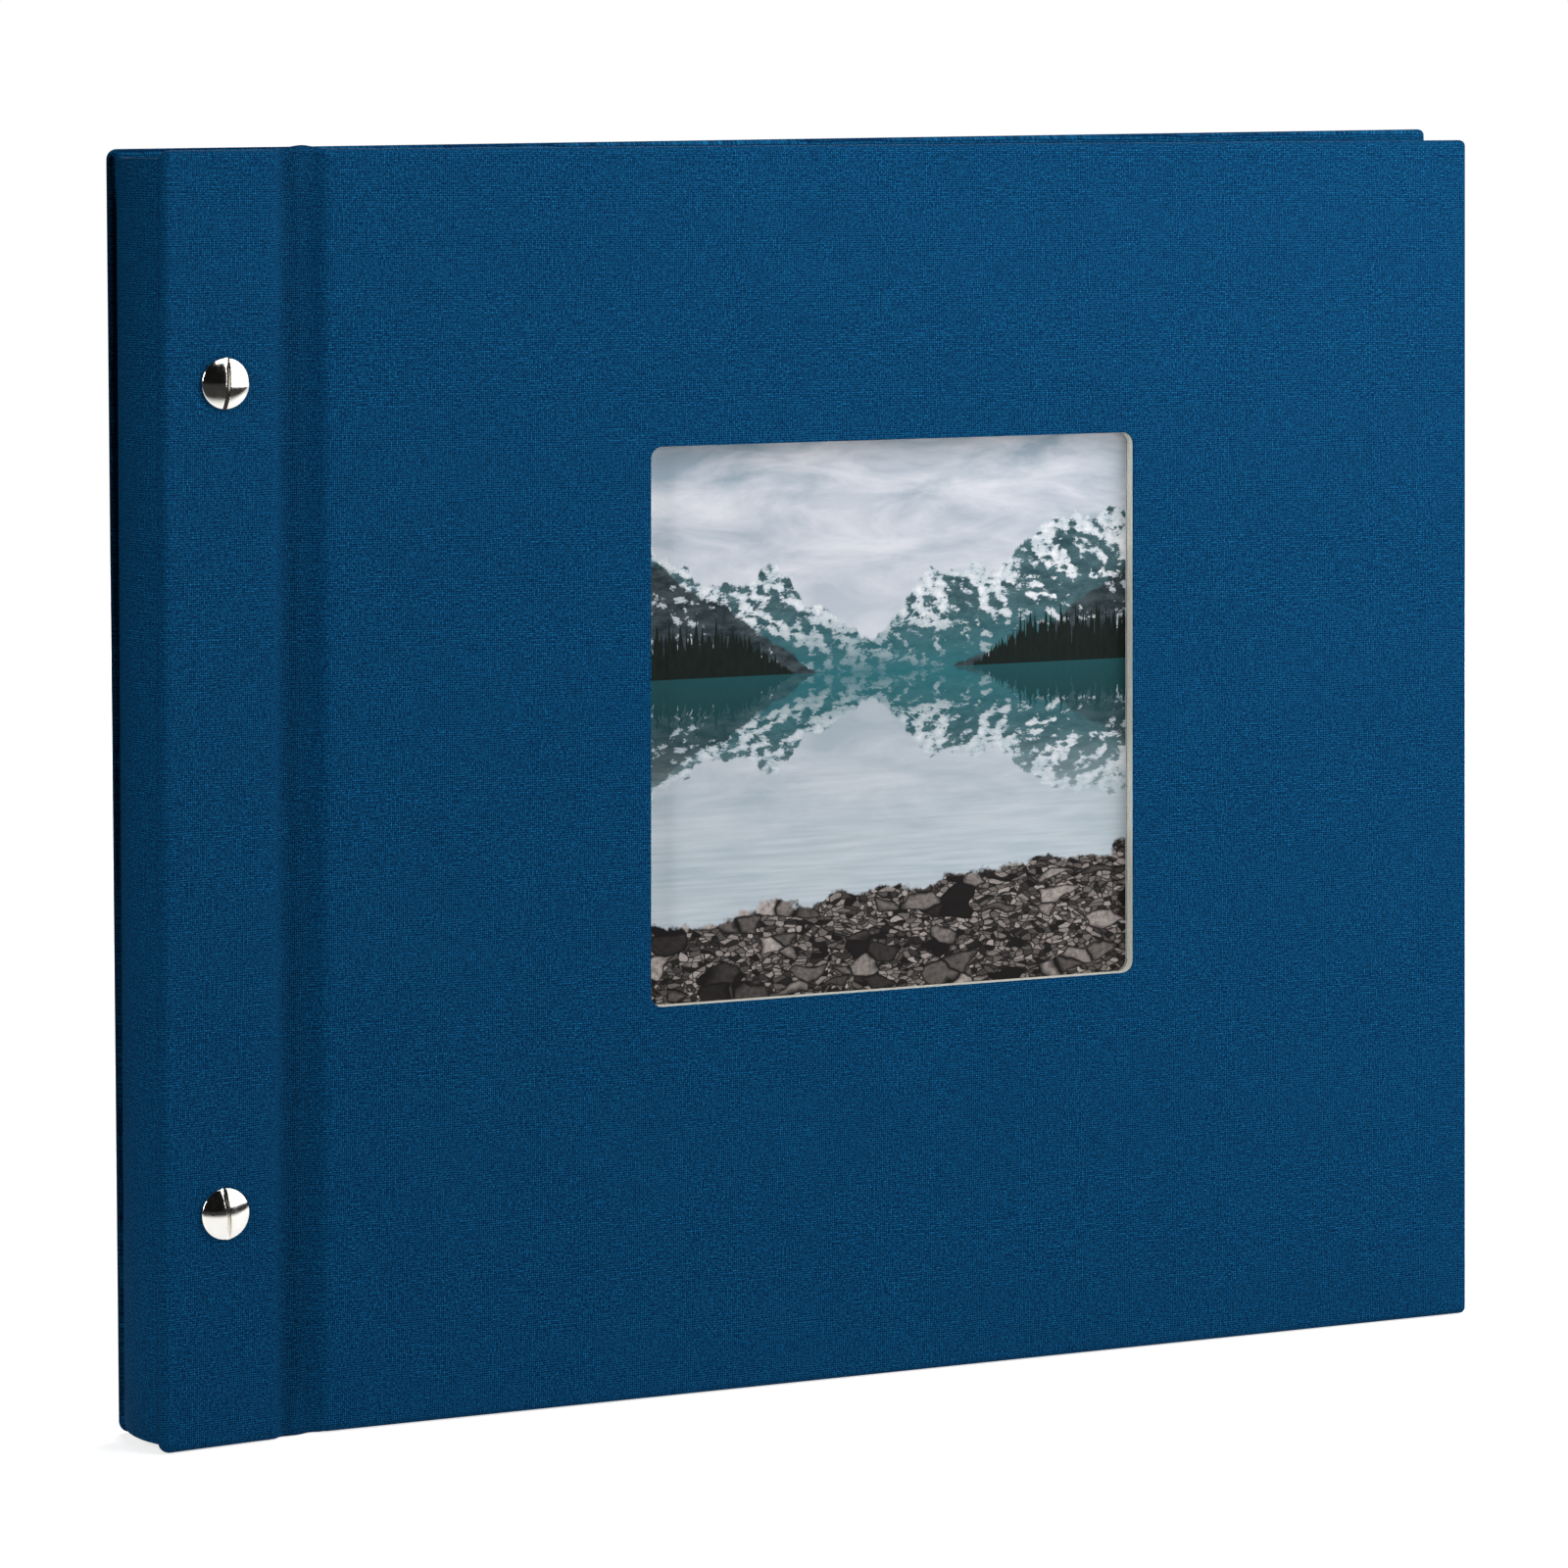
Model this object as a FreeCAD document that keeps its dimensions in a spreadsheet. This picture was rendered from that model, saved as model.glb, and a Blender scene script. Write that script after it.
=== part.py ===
import FreeCAD, Part
import math
import os
import Sketcher

# A landscape scrapbook album bound with two screw posts, standing upright and closed.
# +X runs from the spine to the fore edge, +Y from the front cover to the back cover, +Z up.
# The origin is the middle of the footprint. In the formulas below, a place along the covers is
# measured from the spine edge and a depth from the plane midway between the two covers.
# Each cover is two boards in one piece of book cloth: a narrow binding strip at the spine, then a
# groove of bare cloth that bends, then the main board. The strips lean outwards because the bound
# edges of the leaves are thicker than the leaves themselves.

SIZES = [
    ("cover_width", 302.0, "spine edge to fore edge"),
    ("cover_height", 250.0, "bottom edge to top edge"),
    ("half_depth", 8.8, "mid plane to the outer face of a main board"),
    ("board", 2.2, "grey board of the covers and strips"),
    ("cloth", 0.4, "book cloth with its glue"),
    ("corner", 1.6, "rounding of the board corners"),
    ("strip_width", 24.4, "spine edge to the groove"),
    ("groove_end", 36.0, "spine edge to the main board"),
    ("crease", 30.0, "spine edge to the line where a cover bends"),
    ("front_rise", 2.0, "front strip's lift at the groove"),
    ("front_flare", 4.8, "front strip's lift at the spine edge"),
    ("back_rise", 1.2, "back strip's lift at the groove"),
    ("back_flare", 3.0, "back strip's lift at the spine edge"),
    ("tongue", 0.8, "doubled cloth in the groove"),
    ("lap", 0.15, "how far a groove tongue runs into the wrap it belongs to"),
    ("turn_in", 15.0, "cloth folded over the inner face of a main board"),
    ("lining", 0.2, "lining sheet"),
    ("lining_margin", 4.0, "lining edge to cover edge"),
    ("window_left", 107.2, "spine edge to the window"),
    ("window_bottom", 78.0, "bottom edge to the window"),
    ("window_side", 112.0, "the window is square"),
    ("window_corner", 2.5, "rounding of the window corners"),
    ("print_side", 124.0, "the print is square and larger than the window"),
    ("print_thick", 0.25, "photographic paper"),
    ("print_play", 0.05, "gap each side of the print's thickness"),
    ("pocket_play", 0.3, "gap round the print's edges"),
    ("pocket_flange", 8.0, "glued margin of the pocket"),
    ("pocket_sheet", 0.3, "card of the pocket"),
    ("pocket_rise", 4.0, "pocket above the print's top edge"),
    ("notch", 10.0, "radius of the thumb notch"),
    ("flap_board", 0.8, "stiffener of the spine flap"),
    ("flap_inset", 1.5, "flap below the cover's top and above its bottom"),
    ("flap_bulge", 1.6, "how far the flap bows out past the spine edge"),
    ("flap_start", 11.0, "mid plane to the flap's front end"),
    ("flap_stop", 7.4, "mid plane to the flap's back end"),
    ("leaf_height", 240.0, "card leaf, bottom to top"),
    ("leaf_end", 296.0, "spine edge to the leaf's fore edge"),
    ("leaf_begin", 34.0, "spine edge to where a leaf is free of its fold"),
    ("leaf_card", 0.35, "card of a leaf"),
    ("leaf_pitch", 0.62, "leaf to leaf"),
    ("leaf_first", 4.75, "mid plane to the first leaf's front face"),
    ("glassine", 0.04, "tissue interleaf"),
    ("glassine_gap", 0.1, "leaf's back face to its interleaf"),
    ("glassine_inset", 2.0, "interleaf's edges inside the leaf's edges"),
    ("stub_begin", 2.5, "spine edge to the bound edge of the leaves"),
    ("stub_end", 26.0, "spine edge to the end of a stub"),
    ("stub_card", 0.7, "a stub is the leaf's card folded double"),
    ("stub_hole", 3.0, "radius of the punched holes"),
    ("stub_play", 0.35, "outermost stubs to the strips"),
    ("screw_inset", 13.4, "spine edge to the screws"),
    ("screw_low", 45.0, "bottom edge to the lower screw"),
    ("screw_high", 205.0, "bottom edge to the upper screw"),
    ("head_radius", 5.0, "screw and post heads"),
    ("head_rim", 0.6, "straight edge of a head"),
    ("head_dome", 1.5, "dome above the rim"),
    ("slot_width", 0.9, "screwdriver slot"),
    ("slot_depth", 1.6, "from the top of the dome"),
    ("shank_radius", 2.0, "M4 thread, drawn plain"),
    ("shank_chamfer", 0.5, "lead of the thread"),
    ("thread_play", 0.05, "gap between thread and post"),
    ("post_radius", 2.5, "barrel of the post"),
    ("post_play", 0.05, "gap between a post and the strips"),
    ("post_short", 2.65, "front head to the post's open end"),
    ("post_floor", 2.0, "solid end of the post under its head"),
    ("grip", 7.0, "thread inside the post when it is done up"),
    ("seat_play", 0.1, "gap round a head in the dent that it presses"),
    ("upper_lean", 3.0, "degrees that the upper slots lean"),
    ("lower_lean", -6.0, "degrees that the lower slots lean"),
]
LEAVES = 16
FRONT, BACK = -1, 1
CUT_REACH = 40.0
ROUND = 360.0

doc = FreeCAD.newDocument("album")
sheet = doc.addObject("Spreadsheet::Sheet", "Sizes")
for row, (alias, value, meaning) in enumerate(SIZES, start=1):
    sheet.set(f"A{row}", str(value))
    sheet.set(f"B{row}", meaning)
    sheet.setAlias(f"A{row}", alias)
doc.recompute()


def size(alias):
    """A driving dimension, in millimetres or degrees."""
    return float(getattr(sheet, alias))


class Names(dict):
    """Lets a formula name a cell without naming its sheet."""

    def __missing__(self, alias):
        return f"Sizes.{alias}"


def formula(text, **parts):
    """Writes {alias} as the cell that it names, and puts the whole in brackets."""
    return "(" + text.format_map(Names(parts)) + ")"


def lift(side):
    """A strip's lift at the groove and at the spine edge."""
    if side == FRONT:
        return "Sizes.front_rise", "Sizes.front_flare"
    return "Sizes.back_rise", "Sizes.back_flare"


def slope(side):
    """Lift that a strip gains for each millimetre towards the spine."""
    rise, flare = lift(side)
    return formula("({flare} - {rise}) / {strip_width}", rise=rise, flare=flare)


def strip_depth(side, along):
    """Depth of a strip's outer face at a place along the cover."""
    rise, _ = lift(side)
    return formula(
        "{half_depth} + {rise} + ({strip_width} - {along}) * {slope}",
        rise=rise, along=along, slope=slope(side),
    )


def crease_depth(side):
    """Depth of the cloth's outer face at the crease, halfway down the groove's slope."""
    rise, _ = lift(side)
    return formula(
        "{half_depth} + {rise} * ({groove_end} - {crease}) / ({groove_end} - {strip_width})",
        rise=rise,
    )


FULL_BOARD = formula("{board} + 2 * {cloth}")
SPINE_X = formula("({flap_bulge} - {cover_width}) / 2")
WINDOW_X = formula("{window_left} + {window_side} / 2")
WINDOW_Z = formula("{window_bottom} + {window_side} / 2")
HEAD = formula("{head_rim} + {head_dome}")
FRONT_SEAT = strip_depth(FRONT, "Sizes.screw_inset")
BACK_SEAT = strip_depth(BACK, "Sizes.screw_inset")
# The front heads stand out further than the back ones, so the mid plane moves by half the
# difference, which keeps the origin in the middle of the whole.
MIDDLE_Y = f"(({FRONT_SEAT} - {BACK_SEAT}) / 2)"

nodes = []


def node(thing, label):
    """Names a thing as one of the pieces that are written out."""
    thing.Label = label
    nodes.append(thing)
    return thing


def bind(thing, **formulas):
    """Binds properties to formulas; a double underscore in a name stands for a dot."""
    for name, text in formulas.items():
        thing.setExpression(name.replace("__", "."), text)


def place(thing, along="0", depth="0", height="0"):
    """Puts a thing at a place along the cover, a depth behind the mid plane and a height."""
    bind(
        thing,
        Placement__Base__x=f"{SPINE_X} + {along}",
        Placement__Base__y=f"{MIDDLE_Y} + {depth}",
        Placement__Base__z=height,
    )
    return thing


def box(name, length, width, height):
    """A Part::Box with its three sizes bound."""
    block = doc.addObject("Part::Box", name)
    bind(block, Length=length, Width=width, Height=height)
    return block


def drill(name, radius, height):
    """A cylinder that lies along +Y."""
    tool = doc.addObject("Part::Cylinder", name)
    tool.Placement.Rotation = FreeCAD.Rotation(FreeCAD.Vector(1, 0, 0), -90)
    bind(tool, Radius=radius, Height=height)
    return tool


def less(name, thing, *tools):
    """A thing with tools cut out of it, one after the other."""
    for number, tool in enumerate(tools):
        cut = doc.addObject("Part::Cut", f"{name}_cut_{number}")
        cut.Base = thing
        cut.Tool = tool
        thing = cut
    return thing


def joined(name, *things):
    """Things fused into one."""
    fuse = doc.addObject("Part::MultiFuse", name)
    fuse.Shapes = list(things)
    return fuse


def new_sketch(body, name, plane):
    """A sketch on one of a body's own origin planes."""
    sketch = body.newObject("Sketcher::SketchObject", name)
    support = next(f for f in body.Origin.OriginFeatures if f.Role == plane)
    sketch.AttachmentSupport = (support, [""])
    sketch.MapMode = "FlatFace"
    return sketch


def outline(sketch, corners, domed=False):
    """A closed outline whose corners are pairs of formulas, listed anticlockwise.

    With domed, the side between the first two corners is an arc centred on the vertical axis:
    it starts at the first corner and ends at the second, which lies on the axis.
    """
    doc.recompute()
    places = [FreeCAD.Vector(*(sketch.evalExpression(c) for c in pair), 0) for pair in corners]
    count = len(corners)
    for side in range(count):
        start, end = places[side], places[(side + 1) % count]
        if domed and side == 0:
            sag = (end.y - start.y) / 2
            centre = FreeCAD.Vector(0, end.y - (start.x**2 + 4 * sag**2) / (4 * sag), 0)
            circle = Part.Circle(centre, FreeCAD.Vector(0, 0, 1), end.y - centre.y)
            begin = math.atan2(start.y - centre.y, start.x)
            sketch.addGeometry(Part.ArcOfCircle(circle, begin, math.pi / 2), False)
            sketch.addConstraint(Sketcher.Constraint("PointOnObject", 0, 3, -2))
        else:
            sketch.addGeometry(Part.LineSegment(start, end), False)
    for side in range(count):
        sketch.addConstraint(Sketcher.Constraint("Coincident", side, 2, (side + 1) % count, 1))
    for number, pair in enumerate(corners):
        for kind, text in zip(("DistanceX", "DistanceY"), pair):
            value = sketch.evalExpression(text)
            added = sketch.addConstraint(Sketcher.Constraint(kind, -1, 1, number, 1, value))
            sketch.renameConstraint(added, f"{kind}_{number}")
            sketch.setExpression(f"Constraints.{kind}_{number}", text)


def rectangle(left, bottom, width, height):
    """Corners of an upright rectangle, anticlockwise."""
    right, top = f"{left} + {width}", f"{bottom} + {height}"
    return [(left, bottom), (right, bottom), (right, top), (left, top)]


def plate(name, left, bottom, width, height, near, thick, radius=None):
    """An upright sheet whose front face is at depth near, with rounded corners if asked."""
    body = doc.addObject("PartDesign::Body", name)
    sketch = new_sketch(body, f"{name}_outline", "XZ_Plane")
    outline(sketch, rectangle(left, bottom, width, height))
    pad = body.newObject("PartDesign::Pad", f"{name}_pad")
    pad.Profile = sketch
    bind(pad, Length=thick)
    if radius:
        doc.recompute()
        corners = [
            f"Edge{number}"
            for number, edge in enumerate(pad.Shape.Edges, start=1)
            if abs(edge.tangentAt(edge.FirstParameter).y) > 0.9
        ]
        rounding = body.newObject("PartDesign::Fillet", f"{name}_corners")
        rounding.Base = (pad, corners)
        bind(rounding, Radius=radius)
    return place(body, depth=f"{near} + {thick}")


def layer(side, outside, thick):
    """Depth of the front face of a cover layer that lies a distance inside the outer face."""
    if side == FRONT:
        return f"({outside} - Sizes.half_depth)"
    return f"(Sizes.half_depth - {outside} - {thick})"


def tongue(name, side, start, end, start_depth, end_depth):
    """Half of the doubled cloth in a groove, between two places along the cover."""
    body = doc.addObject("PartDesign::Body", name)
    sketch = new_sketch(body, f"{name}_outline", "XY_Plane")
    outer = [(start, f"{side} * {start_depth}"), (end, f"{side} * {end_depth}")]
    inner = [(end, f"{side} * ({end_depth} - Sizes.tongue)")]
    inner.append((start, f"{side} * ({start_depth} - Sizes.tongue)"))
    outline(sketch, outer + inner if side == FRONT else (outer + inner)[::-1])
    pad = body.newObject("PartDesign::Pad", f"{name}_pad")
    pad.Profile = sketch
    bind(pad, Length="Sizes.cover_height")
    return place(body)


# Main covers


def cover_plate(name, side, margin, outside, thick, radius=None):
    """A sheet inside a main cover, a margin in from its edges and a distance from its face."""
    return plate(
        name,
        formula("{groove_end} + {margin}", margin=margin),
        margin,
        formula("{cover_width} - {groove_end} - 2 * {margin}", margin=margin),
        formula("{cover_height} - 2 * {margin}", margin=margin),
        layer(side, outside, thick),
        thick,
        radius,
    )


def make_cover(title, side, *openings):
    """A main cover: board, cloth with its turn-ins, infill between the turn-ins, and lining."""
    board = cover_plate(
        f"{title}_blank", side, "Sizes.cloth", "Sizes.cloth", "Sizes.board", "Sizes.corner"
    )
    infill = cover_plate(
        f"{title}_fill", side, "Sizes.turn_in", formula("{cloth} + {board}"), "Sizes.cloth"
    )
    sheet_in = cover_plate(
        f"{title}_sheet", side, "Sizes.lining_margin", FULL_BOARD, "Sizes.lining"
    )
    wrap = cover_plate(
        f"{title}_wrap", side, "0", "0", FULL_BOARD, formula("{corner} + {cloth}")
    )
    half_groove = tongue(
        f"{title}_tongue", side, "Sizes.crease", formula("{groove_end} + {lap}"),
        crease_depth(side), "Sizes.half_depth",
    )
    skin = joined(f"{title}_skin", wrap, half_groove)
    node(less(f"{title}_board", board, *openings), f"{title}_board")
    node(less(f"{title}_cloth", skin, board, infill, *openings), f"{title}_cloth")
    node(less(f"{title}_infill", infill, *openings), f"{title}_infill")
    node(less(f"{title}_lining", sheet_in, *openings), f"{title}_lining")


def make_window():
    """The cutter of the square window, which goes through every layer of the front cover."""
    return plate(
        "window_cutter", "Sizes.window_left", "Sizes.window_bottom", "Sizes.window_side",
        "Sizes.window_side", f"-{CUT_REACH}", str(CUT_REACH), "Sizes.window_corner",
    )


def make_print():
    """The print behind the window and the pocket that holds it, open at the top."""
    behind = formula("{board} + 2 * {cloth} + {lining} - {half_depth}")
    space = formula("{print_thick} + 2 * {print_play}")
    room = formula("{print_side} / 2 + {pocket_play}")
    reach = formula("{room} + {pocket_flange}", room=room)
    pocket_bottom = f"({WINDOW_Z} - {reach})"
    pocket_top = formula("{middle} + {print_side} / 2 + {pocket_rise}", middle=WINDOW_Z)
    outer = plate(
        "pocket_blank", f"({WINDOW_X} - {reach})", pocket_bottom, f"2 * {reach}",
        f"{pocket_top} - {pocket_bottom}", behind, f"({space} + Sizes.pocket_sheet)",
    )
    hollow = plate(
        "pocket_hollow", f"({WINDOW_X} - {room})", f"({WINDOW_Z} - {room})", f"2 * {room}",
        f"2 * {room} + Sizes.pocket_rise", behind, space,
    )
    notch = drill("pocket_notch", "Sizes.notch", str(CUT_REACH))
    place(notch, WINDOW_X, f"-{CUT_REACH}", pocket_top)
    node(less("print_pocket", outer, hollow, notch), "print_pocket")
    picture = box("window_print", "Sizes.print_side", "Sizes.print_thick", "Sizes.print_side")
    place(
        picture, f"{WINDOW_X} - Sizes.print_side / 2", f"{behind} + Sizes.print_play",
        f"{WINDOW_Z} - Sizes.print_side / 2",
    )
    node(picture, "window_print")


# Binding strips and spine flap


def strip_block(name, side, inset):
    """A block of a strip's own slant, an inset smaller than the wrapped strip on every face."""
    length = formula("{strip_width} / cos(atan({slope})) - 2 * {inset}", slope=slope(side), inset=inset)
    width = formula("{board} + 2 * {cloth} - 2 * {inset}", inset=inset)
    block = box(name, length, width, formula("{cover_height} - 2 * {inset}", inset=inset))
    block.Placement.Rotation = FreeCAD.Rotation(FreeCAD.Vector(0, 0, 1), 1)
    bind(block, Placement__Rotation__Angle=f"{-side} * atan({slope(side)})")
    angle = f"atan({slope(side)})"
    inward = inset if side == FRONT else formula("{board} + 2 * {cloth} - {inset}", inset=inset)
    return place(
        block,
        f"({inset} * cos({angle}) - {inward} * sin({angle}))",
        f"{side} * ({strip_depth(side, '0')} - {inward} * cos({angle}) - {inset} * sin({angle}))",
        inset,
    )


def flap_band(name, inset):
    """The bowed band of the spine flap, an inset smaller than the wrapped flap on every face."""
    chord = formula("{flap_start} + {flap_stop}")
    radius = formula("{chord} ^ 2 / (8 * {flap_bulge}) + {flap_bulge} / 2", chord=chord)
    body = doc.addObject("PartDesign::Body", name)
    sketch = new_sketch(body, f"{name}_outline", "XZ_Plane")
    width = formula("{flap_board} + 2 * {cloth} - 2 * {inset}", inset=inset)
    inner = formula("{radius} - {inset} - {width}", radius=radius, inset=inset, width=width)
    bottom = formula("{flap_inset} + {inset}", inset=inset)
    outline(sketch, rectangle(inner, bottom, width, f"(Sizes.cover_height - 2 * {bottom})"))
    turned = body.newObject("PartDesign::Revolution", f"{name}_turned")
    turned.Profile = sketch
    turned.ReferenceAxis = (sketch, ["V_Axis"])
    turned.Midplane = True
    bind(turned, Angle=f"2 * asin(({chord} / 2 - {inset}) / {radius})")
    body.Placement.Rotation = FreeCAD.Rotation(FreeCAD.Vector(0, 0, 1), 180)
    return place(body, f"({radius} - Sizes.flap_bulge)", formula("({flap_stop} - {flap_start}) / 2"))


def make_strip(title, side, bores, *flap):
    """A binding strip: board and cloth, with its half of the groove and maybe the spine flap."""
    rise, _ = lift(side)
    board = strip_block(f"{title}_blank", side, "Sizes.cloth")
    wrap = strip_block(f"{title}_wrap", side, "0")
    half_groove = tongue(
        f"{title}_tongue", side, formula("{strip_width} - {lap}"), "Sizes.crease",
        formula("{half_depth} + {rise}", rise=rise), crease_depth(side),
    )
    cloth, cores = [wrap, half_groove], [board]
    if flap:
        cloth.append(flap[0])
        cores.append(flap[1])
    skin = joined(f"{title}_skin", *cloth)
    node(less(f"{title}_board", board, *bores), f"{title}_board")
    node(less(f"{title}_cloth", skin, *cores, *bores), f"{title}_cloth")


def make_bores(side):
    """Cutters of the post holes and of the dents that the heads press into a strip."""
    cutters = []
    seat = FRONT_SEAT if side == FRONT else BACK_SEAT
    for title, height in (("upper", "Sizes.screw_high"), ("lower", "Sizes.screw_low")):
        hole = drill(f"{title}_hole", formula("{post_radius} + {post_play}"), str(CUT_REACH))
        place(hole, "Sizes.screw_inset", f"-{CUT_REACH / 2}", height)
        dent = drill(f"{title}_dent", formula("{head_radius} + {seat_play}"), HEAD)
        place(dent, "Sizes.screw_inset", f"-({seat} + {HEAD})" if side == FRONT else seat, height)
        cutters += [hole, dent]
    return cutters


# Leaves


def make_leaves():
    """Card leaves, each with its tissue interleaf, as they lie beyond their folds."""
    long = formula("{leaf_end} - {leaf_begin}")
    low = formula("({cover_height} - {leaf_height}) / 2")
    for number in range(LEAVES):
        depth = formula("{number} * {leaf_pitch} - {leaf_first}", number=number)
        leaf = box(f"leaf_{number + 1:02d}", long, "Sizes.leaf_card", "Sizes.leaf_height")
        node(place(leaf, "Sizes.leaf_begin", depth, low), f"leaf_{number + 1:02d}")
        tissue = box(
            f"interleaf_{number + 1:02d}", f"{long} - Sizes.glassine_inset", "Sizes.glassine",
            formula("{leaf_height} - 2 * {glassine_inset}"),
        )
        behind = formula("{depth} + {leaf_card} + {glassine_gap}", depth=depth)
        place(tissue, "Sizes.leaf_begin", behind, f"{low} + Sizes.glassine_inset")
        node(tissue, f"interleaf_{number + 1:02d}")


def inner_depth(side, along):
    """Depth of a strip's inner face at a place along the cover, as a number."""
    rise, flare = (size(alias.split(".")[1]) for alias in lift(side))
    steep = (flare - rise) / size("strip_width")
    outer = size("half_depth") + rise + (size("strip_width") - along) * steep
    return outer - (size("board") + 2 * size("cloth")) / math.cos(math.atan(steep))


def make_stubs():
    """The bound edges of the leaves, fanned out between the strips and punched for the posts."""
    begin, end = size("stub_begin"), size("strip_width")
    low = (size("cover_height") - size("leaf_height")) / 2
    used = size("stub_card") + size("glassine_gap") + size("glassine")
    spread = {}
    for along in (begin, end):
        first = size("stub_play") - inner_depth(FRONT, along)
        last = inner_depth(BACK, along) - size("stub_play") - used
        spread[along] = (first, (last - first) / (LEAVES - 1))
    upward = FreeCAD.Vector(0, 0, 1)
    punches = [
        Part.makeCylinder(
            size("stub_hole"), CUT_REACH,
            FreeCAD.Vector(size("screw_inset"), -CUT_REACH / 2, size(height)),
            FreeCAD.Vector(0, 1, 0),
        )
        for height in ("screw_low", "screw_high")
    ]
    for label, offset, thick, inset in (
        ("leaf_stubs", 0.0, size("stub_card"), 0.0),
        ("interleaf_stubs", size("stub_card") + size("glassine_gap"), size("glassine"),
         size("glassine_inset")),
    ):
        sheets = []
        for number in range(LEAVES):
            near, far = (spread[a][0] + number * spread[a][1] for a in (begin, end))
            turn = math.degrees(math.atan2(far - near, end - begin))
            block = Part.makeBox(
                size("stub_end") - begin, thick, size("leaf_height") - 2 * inset,
                FreeCAD.Vector(0, offset, low + inset),
            )
            block.rotate(FreeCAD.Vector(0, 0, 0), upward, turn)
            block.translate(FreeCAD.Vector(begin, near, 0))
            sheets.append(block.cut(punches))
        stubs = doc.addObject("Part::Feature", label)
        stubs.Shape = Part.makeCompound(sheets)
        node(place(stubs), label)


# Screws and posts


def make_bolt(label, side, height, slant, tail):
    """A slotted domed head, turned about Y with its tail, and set under its seat on a strip."""
    body = doc.addObject("PartDesign::Body", label)
    sketch = new_sketch(body, f"{label}_profile", "XY_Plane")
    head = [("Sizes.head_radius", "Sizes.head_rim"), ("0", HEAD)]
    outline(sketch, head + tail + [("Sizes.head_radius", "0")], domed=True)
    turned = body.newObject("PartDesign::Revolution", f"{label}_turned")
    turned.Profile = sketch
    turned.ReferenceAxis = (sketch, ["V_Axis"])
    turned.Angle = ROUND
    slot = new_sketch(body, f"{label}_slot_outline", "XZ_Plane")
    bind(slot, AttachmentOffset__Base__z=f"-{HEAD}")
    outline(
        slot,
        rectangle("(-Sizes.slot_width / 2)", "(-Sizes.head_radius * 2)", "Sizes.slot_width",
                  "Sizes.head_radius * 4"),
    )
    doc.recompute()
    whole = turned.Shape.Volume
    pocket = body.newObject("PartDesign::Pocket", f"{label}_slot")
    pocket.Profile = slot
    pocket.Reversed = True
    bind(pocket, Length="Sizes.slot_depth")
    doc.recompute()
    if not pocket.Shape.Volume < whole:
        raise RuntimeError(f"the slot of {label} cuts nothing")
    lean = FreeCAD.Rotation(FreeCAD.Vector(0, 1, 0), slant)
    if side == FRONT:
        lean = lean.multiply(FreeCAD.Rotation(FreeCAD.Vector(0, 0, 1), 180))
    body.Placement.Rotation = lean
    depth = f"-{FRONT_SEAT}" if side == FRONT else BACK_SEAT
    node(place(body, "Sizes.screw_inset", depth, height), label)


def make_fasteners():
    """Two screws from the front, each in a post from the back."""
    shank = formula("{post_short} + {grip}")
    barrel = f"({FRONT_SEAT} + {BACK_SEAT} - Sizes.post_short)"
    bore = formula("{shank_radius} + {thread_play}")
    screw_tail = [
        ("0", f"-{shank}"),
        (formula("{shank_radius} - {shank_chamfer}"), f"-{shank}"),
        ("Sizes.shank_radius", formula("{shank_chamfer} - {shank}", shank=shank)),
        ("Sizes.shank_radius", "0"),
    ]
    post_tail = [
        ("0", "-Sizes.post_floor"),
        (bore, "-Sizes.post_floor"),
        (bore, f"-{barrel}"),
        ("Sizes.post_radius", f"-{barrel}"),
        ("Sizes.post_radius", "0"),
    ]
    for title, height, slant in (
        ("upper", "Sizes.screw_high", size("upper_lean")),
        ("lower", "Sizes.screw_low", size("lower_lean")),
    ):
        make_bolt(f"{title}_binding_screw", FRONT, height, slant, screw_tail)
        make_bolt(f"{title}_binding_post", BACK, height, slant, post_tail)


def check_and_write():
    """Stops on any failed object, then writes one STEP file for each piece."""
    doc.recompute()
    for thing in doc.Objects:
        if {"Invalid", "Error"} & set(thing.State):
            raise RuntimeError(f"{thing.Label} failed: {thing.State}")
    for thing in nodes:
        if thing.Shape.isNull() or not thing.Shape.isValid() or not thing.Shape.Solids:
            raise RuntimeError(f"{thing.Label} has no valid solid")
    os.makedirs("parts", exist_ok=True)
    for thing in nodes:
        thing.Shape.exportStep(f"parts/{thing.Label}.step")


make_cover("front_cover", FRONT, make_window())
make_cover("back_cover", BACK)
make_print()
spine_band = flap_band("flap_wrap", "0")
spine_core = flap_band("flap_core", "Sizes.cloth")
make_strip("front_strip", FRONT, make_bores(FRONT), spine_band, spine_core)
make_strip("back_strip", BACK, make_bores(BACK))
node(spine_core, "spine_flap_board")
make_leaves()
make_stubs()
make_fasteners()
check_and_write()
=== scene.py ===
import math

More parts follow.
